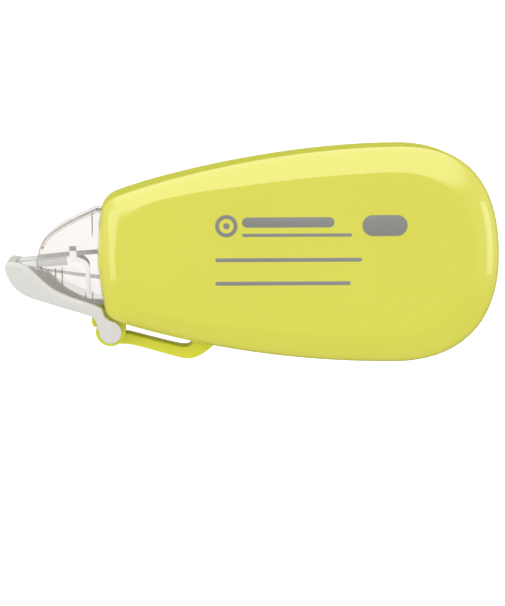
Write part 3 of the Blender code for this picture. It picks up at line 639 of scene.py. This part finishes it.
reel_mark = turned("print_reel", [(1.75, PRINT_Y[1]), (1.75, PRINT_Y[0]), (1.15, PRINT_Y[0]),
                                  (1.15, PRINT_Y[1])], REEL_MARK, INK, rounding=0.01)
place(reel_mark, "case", None)
stamped("print_hub", circle(REEL_MARK, 0.5))
stamped("print_stripe", bar(-1.9, 15.4, 20.5, 0.5))
stamped("print_band", bar(-1.9, 12.6, 22.5, 1.6))
stamped("print_tab", bar(17.0, 24.1, 21.95, 3.3))
stamped("print_rule_1", bar(-6.1, 17.0, 16.6, 0.6))
stamped("print_rule_2", bar(-6.1, 15.2, 12.9, 0.6))


# ---------------------------------------------------------------- snout and head

def snout_parts():
    roof, lip, belly = (trace(nodes) for nodes in (SNOUT_ROOF, SNOUT_LIP, SNOUT_BELLY))
    tail = [np.array((SNOUT_TAIL_X, belly[-1][1] + 2)), np.array((SNOUT_TAIL_X, roof[0][1] - 1.2))]
    return roof + lip[1:] + belly[1:] + tail, roof, belly


RIM_END_X = -22.0           # the painted dark edge line stops inside the casing's mouth
outline, roof, belly = snout_parts()
rim_path = resampled(outline, 0.12)
rim_path = list(rim_path[rim_path[:, 0] < RIM_END_X])
inner_y = SNOUT_HALF_DEPTH - SNOUT_PLATE
for label, node, y_near, y_far in (("near", "snout_cover", -SNOUT_HALF_DEPTH, -inner_y),
                                   ("far", "snout_frame", inner_y, SNOUT_HALF_DEPTH)):
    outer, inside = (0.22, 0.22), (0.06, 0.06)
    plate = slab(f"snout_plate_{label}", outline, y_near, y_far, CLEAR,
                 near=outer if label == "near" else inside, far=inside if label == "near" else outer)
    cut(plate, [pin("hole", guide, GUIDE_R + 0.2, y_near - 1, y_far + 1, CLEAR)
                for guide in (FEED_GUIDE, RETURN_GUIDE)])
    place(plate, "case", "clear_plastic", node)
    front = y_near + 0.2 if label == "near" else y_near + 0.3
    # A grey-brown strip just inside each plate's outline: painted shade for the dark line along the
    # clear edge.
    rim = slab(f"snout_edge_shade_{label}", strip(rim_path, 0.12, 0.20), front, front + 0.3, EDGE_SHADE,
               near=(0.02, 0.02), far=(0.02, 0.02), steps=2)
    place(rim, "case", "clear_plastic", node)
# The roof wall is clear; the belly wall of the same clear part is drawn grey as painted shade.
for label, path in (("roof", roof[:-1]), ("belly", belly[2 * FINE // 14:])):
    wall = slab(f"snout_{label}_wall", strip(path, 0.06, SNOUT_WALL), 0.15 - inner_y, inner_y - 0.02,
                CLEAR if label == "roof" else SHADE_GREY,
                near=(0.05, 0.05), far=(0.05, 0.05), spacing=0.2)
    place(wall, "case", "clear_plastic", "snout_frame")

rail = trace([(-28.6, 16.2, 350, 0, 0.6), (-26.5, 14.9, 270, 0.9, 0), (-26.5, 10.7, 270, 0, 0)])
loop_rib = [np.array((-31.1, 14.6))] + arc((-30.65, 12.6), 0.45, 180, 360) + [np.array((-30.2, 14.6))]
post_rib = [(-29.0, 16.0), (-27.9, 16.0), (-27.9, 17.7), (-29.0, 17.7)]
rib_ys = (TAPE_WIDTH / 2 + 0.15, inner_y - 0.02)
low_loop = [np.array((-26.5, 10.9))] + arc((-26.0, 9.95), 0.42, 180, 360) + [np.array((-25.5, 10.9))]
step_rib = [(-25.5, 20.0), (-25.36, 20.0), (-25.36, 23.6), (-25.5, 23.6)]
for side, label, node in ((-1, "near", "snout_cover"), (1, "far", "snout_frame")):
    # The far post and rail take the grey of painted shade; the near ones are milky.
    solid = MILKY if label == "near" else SHADE_GREY
    # The loop and step ribs are clear plastic drawn in the grey-brown of painted shade.
    ribs = [("post", post_rib, solid), ("rail", strip(rail, 0, 0.7), solid),
            ("loop", strip(loop_rib, -0.13, 0), EDGE_SHADE), ("low_loop", strip(low_loop, -0.13, 0), EDGE_SHADE),
            ("step", step_rib, EDGE_SHADE)]
    for what, rib, colour_and_shade in ribs:
        deeper = 0.05 if what == "rail" else 0.0     # so it doesn't share a face with the post
        ys = sorted(side * y for y in (rib_ys[0] + deeper, rib_ys[1] - deeper))
        made = slab(f"snout_{what}_{label}", rib, *ys, colour_and_shade, near=(0.08, 0.08), far=(0.08, 0.08),
                    spacing=0.12)
        place(made, "case", "clear_plastic", node)

blade = (arc(HEAD_NOSE, HEAD_NOSE_R, 95, 265)
         + [np.array(p) for p in ((-34.3, 15.15), (-29.35, 15.5), (-29.35, 16.45), (-34.0, 16.05))])
head = slab("applicator_blade", blade, -HEAD_HALF_DEPTH, HEAD_HALF_DEPTH, HEAD, near=(0.1, 0.1),
            far=(0.1, 0.1), spacing=0.1)
place(head, "case", "head_plastic", "applicator_head")


# ---------------------------------------------------------------- head cap

neck = ([np.array(p) for p in ((-23.95, 8.8), (-23.5, 7.45), (-22.75, 6.85), (-21.75, 6.5))]
        + arc(HINGE, BULB_R, 58, -180, 40) + [np.array(p) for p in ((-24.75, 6.2), (-25.1, 7.0))])
cheek = trace(CAP_TOP) + neck + trace(CAP_KEEL)[:-1]
cheek_in = CAP_HALF_DEPTH - CAP_CHEEK
for label, ys, near, far in (("near", (-CAP_HALF_DEPTH, -cheek_in), (0.8, 0.45), (0.12, 0.12)),
                             ("far", (cheek_in, CAP_HALF_DEPTH), (0.12, 0.12), (0.8, 0.45))):
    made = slab(f"cap_cheek_{label}", cheek, *ys, WHITE, near=near, far=far, spacing=0.14, steps=8,
                narrows=(-27.0, -24.2, 0.22))
    place(made, "head_cap", "white_plastic", "head_cap")
web_path = [p for p in trace(CAP_KEEL[:-1]) if p[0] < -26.5] + [np.array((-38.95, 15.95))]
WEB_INSET = 0.9
web = slab("cap_web", strip(web_path, -CAP_WEB, -0.06), WEB_INSET - CAP_HALF_DEPTH,
           CAP_HALF_DEPTH - WEB_INSET, WHITE, near=(0.05, 0.05), far=(0.05, 0.05))
place(web, "head_cap", "white_plastic", "head_cap")
for label, y_near, y_far in (("near", -cheek_in - 0.5, -1.2), ("far", 1.2, cheek_in + 0.5)):
    place(pin(f"cap_stub_{label}", HINGE, STUB_R, y_near, y_far, WHITE, rounding=0.15),
          "head_cap", "white_plastic", "head_cap")


# ---------------------------------------------------------------- carried-over parts

def repaint(node, material):
    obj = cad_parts[node]
    if not obj.material_slots:
        obj.data.materials.append(material)
    for slot in obj.material_slots:
        slot.material = material


for node, material in (("feed_tape", TAPE), ("return_tape", LINER), ("supply_gear", GEAR),
                       ("supply_retainer", GEAR), ("clutch_ring", RUBBER), ("supply_core", REEL),
                       ("supply_tape_roll", SUPPLY_WOUND), ("supply_disc_front", FILM),
                       ("supply_disc_rear", FILM), ("idler_gear", GEAR), ("takeup_spool", GEAR),
                       ("takeup_roll", LINER_WOUND), ("takeup_disc_front", FILM),
                       ("takeup_disc_rear", FILM), ("takeup_retainer", GEAR)):
    repaint(node, material)


# ---------------------------------------------------------------- stage, light and camera

def new_object(name, data):
    obj = bpy.data.objects.new(name, data)
    bpy.context.scene.collection.objects.link(obj)
    return obj


def aimed(obj, position, target):
    obj.location = Vector(position) * MM
    obj.rotation_mode = "QUATERNION"
    obj.rotation_quaternion = (Vector(target) * MM - obj.location).to_track_quat("-Z", "Y")
    return obj


def area_light(name, position, target, size, strength):
    light = bpy.data.lights.new(name, "AREA")
    light.shape, light.size, light.size_y = "RECTANGLE", size[0] * MM, size[1] * MM
    light.energy = strength
    return aimed(new_object(name, light), position, target)


# World brightness: what mirrors from each side, the box above and its shape, and the matt fill.
MIRROR_FRONT, MIRROR_SIDE, MIRROR_BACK = 0.35, 0.75, 0.12
MIRROR_BELOW = 0.35         # share of it left below the horizon
SOFT_BOX = 2.35
SOFT_BOX_WAY = (0.0, -0.42, 0.90)
SOFT_BOX_ANGLES = (55, 45)  # degrees from its middle where it starts and where it is full
SOFT_BOX_ENDS = (0.88, 0.5)
FILL_BELOW, FILL_ABOVE = 0.88, 0.99
BACKDROP = 1.02
FLOOR_Z = -9.0
FLOOR_HALF = 4000.0
floor_mesh = bpy.data.meshes.new("floor")
floor_mesh.from_pydata([(x * FLOOR_HALF * MM, y * FLOOR_HALF * MM, FLOOR_Z * MM)
                        for x, y in ((-1, -1), (1, -1), (1, 1), (-1, 1))], [], [(0, 1, 2, 3)])
floor = new_object("floor", floor_mesh)
floor_paint = bpy.data.materials.new("pale floor")
floor_paint.use_nodes = True
floor_shader = floor_paint.node_tree.nodes["Principled BSDF"]
floor_shader.inputs["Base Color"].default_value = (0.2, 0.2, 0.2, 1)
floor_shader.inputs["Roughness"].default_value = 0.8
floor_shader.inputs["Emission Color"].default_value = (1, 1, 1, 1)
floor_shader.inputs["Emission Strength"].default_value = 0.95
floor_mesh.materials.append(floor_paint)
floor.visible_diffuse = floor.visible_glossy = False

world = bpy.data.worlds.new("studio")
bpy.context.scene.world = world
world.use_nodes = True
sky, wires = world.node_tree.nodes, world.node_tree.links
room = sky["Background"]
room.inputs["Color"].default_value = (1, 1, 1, 1)
world.cycles.sampling_method = "NONE"


def sky_node(kind, **settings):
    made = sky.new(kind)
    for key, value in settings.items():
        setattr(made, key, value)
    return made


def ranged(source, low, high, dark=0.0, light=1.0):
    """The source value taken smoothly from dark to light as it goes from low to high."""
    made = sky_node("ShaderNodeMapRange", interpolation_type="SMOOTHSTEP")
    for socket, value in zip(made.inputs[1:5], (low, high, dark, light)):
        socket.default_value = value
    wires.new(source, made.inputs["Value"])
    return made.outputs["Result"]


def combined(operation, first, second):
    made = sky_node("ShaderNodeMath", operation=operation)
    wires.new(first, made.inputs[0])
    wires.new(second, made.inputs[1])
    return made.outputs["Value"]


def blended(share, first, second):
    """first where share is 0, second where it is 1. Each is a socket or a number."""
    made = sky_node("ShaderNodeMix", data_type="FLOAT")
    wires.new(share, made.inputs["Factor"])
    for name, value in (("A", first), ("B", second)):
        if isinstance(value, float):
            made.inputs[name].default_value = value
        else:
            wires.new(value, made.inputs[name])
    return made.outputs["Result"]


ways = sky.new("ShaderNodeTexCoord").outputs["Generated"]
split = sky.new("ShaderNodeSeparateXYZ")
wires.new(ways, split.inputs["Vector"])
along_x, along_y, along_z = (split.outputs[axis] for axis in "XYZ")

# What the polished surfaces mirror: a dim front, light sides, a dark ceiling at the back over a
# white sweep, and one large soft box above.
mirrored = ranged(along_y, -0.95, -0.55, MIRROR_FRONT, MIRROR_SIDE)
mirrored = blended(ranged(along_y, 0.15, 0.55), mirrored, MIRROR_BACK)
sweep = combined("MULTIPLY", ranged(along_y, 0.86, 0.93), ranged(along_z, 0.13, 0.09))
mirrored = blended(sweep, mirrored, 1.0)
toward = sky_node("ShaderNodeVectorMath", operation="DOT_PRODUCT")
toward.inputs[1].default_value = Vector(SOFT_BOX_WAY).normalized()
wires.new(ways, toward.inputs[0])
across = sky_node("ShaderNodeMath", operation="ABSOLUTE")
wires.new(along_x, across.inputs[0])
starts, full = (math.cos(math.radians(angle)) for angle in SOFT_BOX_ANGLES)
overhead = combined("MULTIPLY", ranged(toward.outputs["Value"], starts, full),
                    ranged(across.outputs["Value"], *SOFT_BOX_ENDS))
mirrored = blended(overhead, mirrored, SOFT_BOX)
mirrored = combined("MULTIPLY", mirrored, ranged(along_z, -0.45, 0.0, MIRROR_BELOW, 1.0))

# What lights the matt colour: nearly even, a little stronger from above.
even = ranged(along_z, -0.9, 0.9, FILL_BELOW, FILL_ABOVE)
path = sky.new("ShaderNodeLightPath")
seen = blended(path.outputs["Diffuse Depth"], mirrored, even)
seen = blended(path.outputs["Is Camera Ray"], seen, BACKDROP)
wires.new(seen, room.inputs["Strength"])

area_light("left strip", (-370, -290, 60), (-10, 0, 17), (230, 330), 0.34)
area_light("right strip", (430, -150, 30), (20, 0, 17), (150, 200), 0.17)

CAMERA_AT = (-16.3, -372.9, 53.8)
CAMERA_AIM = (0.08, 0.0, 8.9)
lens = bpy.data.cameras.new("camera")
lens.sensor_width = 36.0
lens.lens = 139.2
lens.clip_start, lens.clip_end = 0.01, 50.0
camera = aimed(new_object("camera", lens), CAMERA_AT, CAMERA_AIM)
bpy.context.scene.camera = camera
bpy.context.scene.view_settings.view_transform = "Standard"
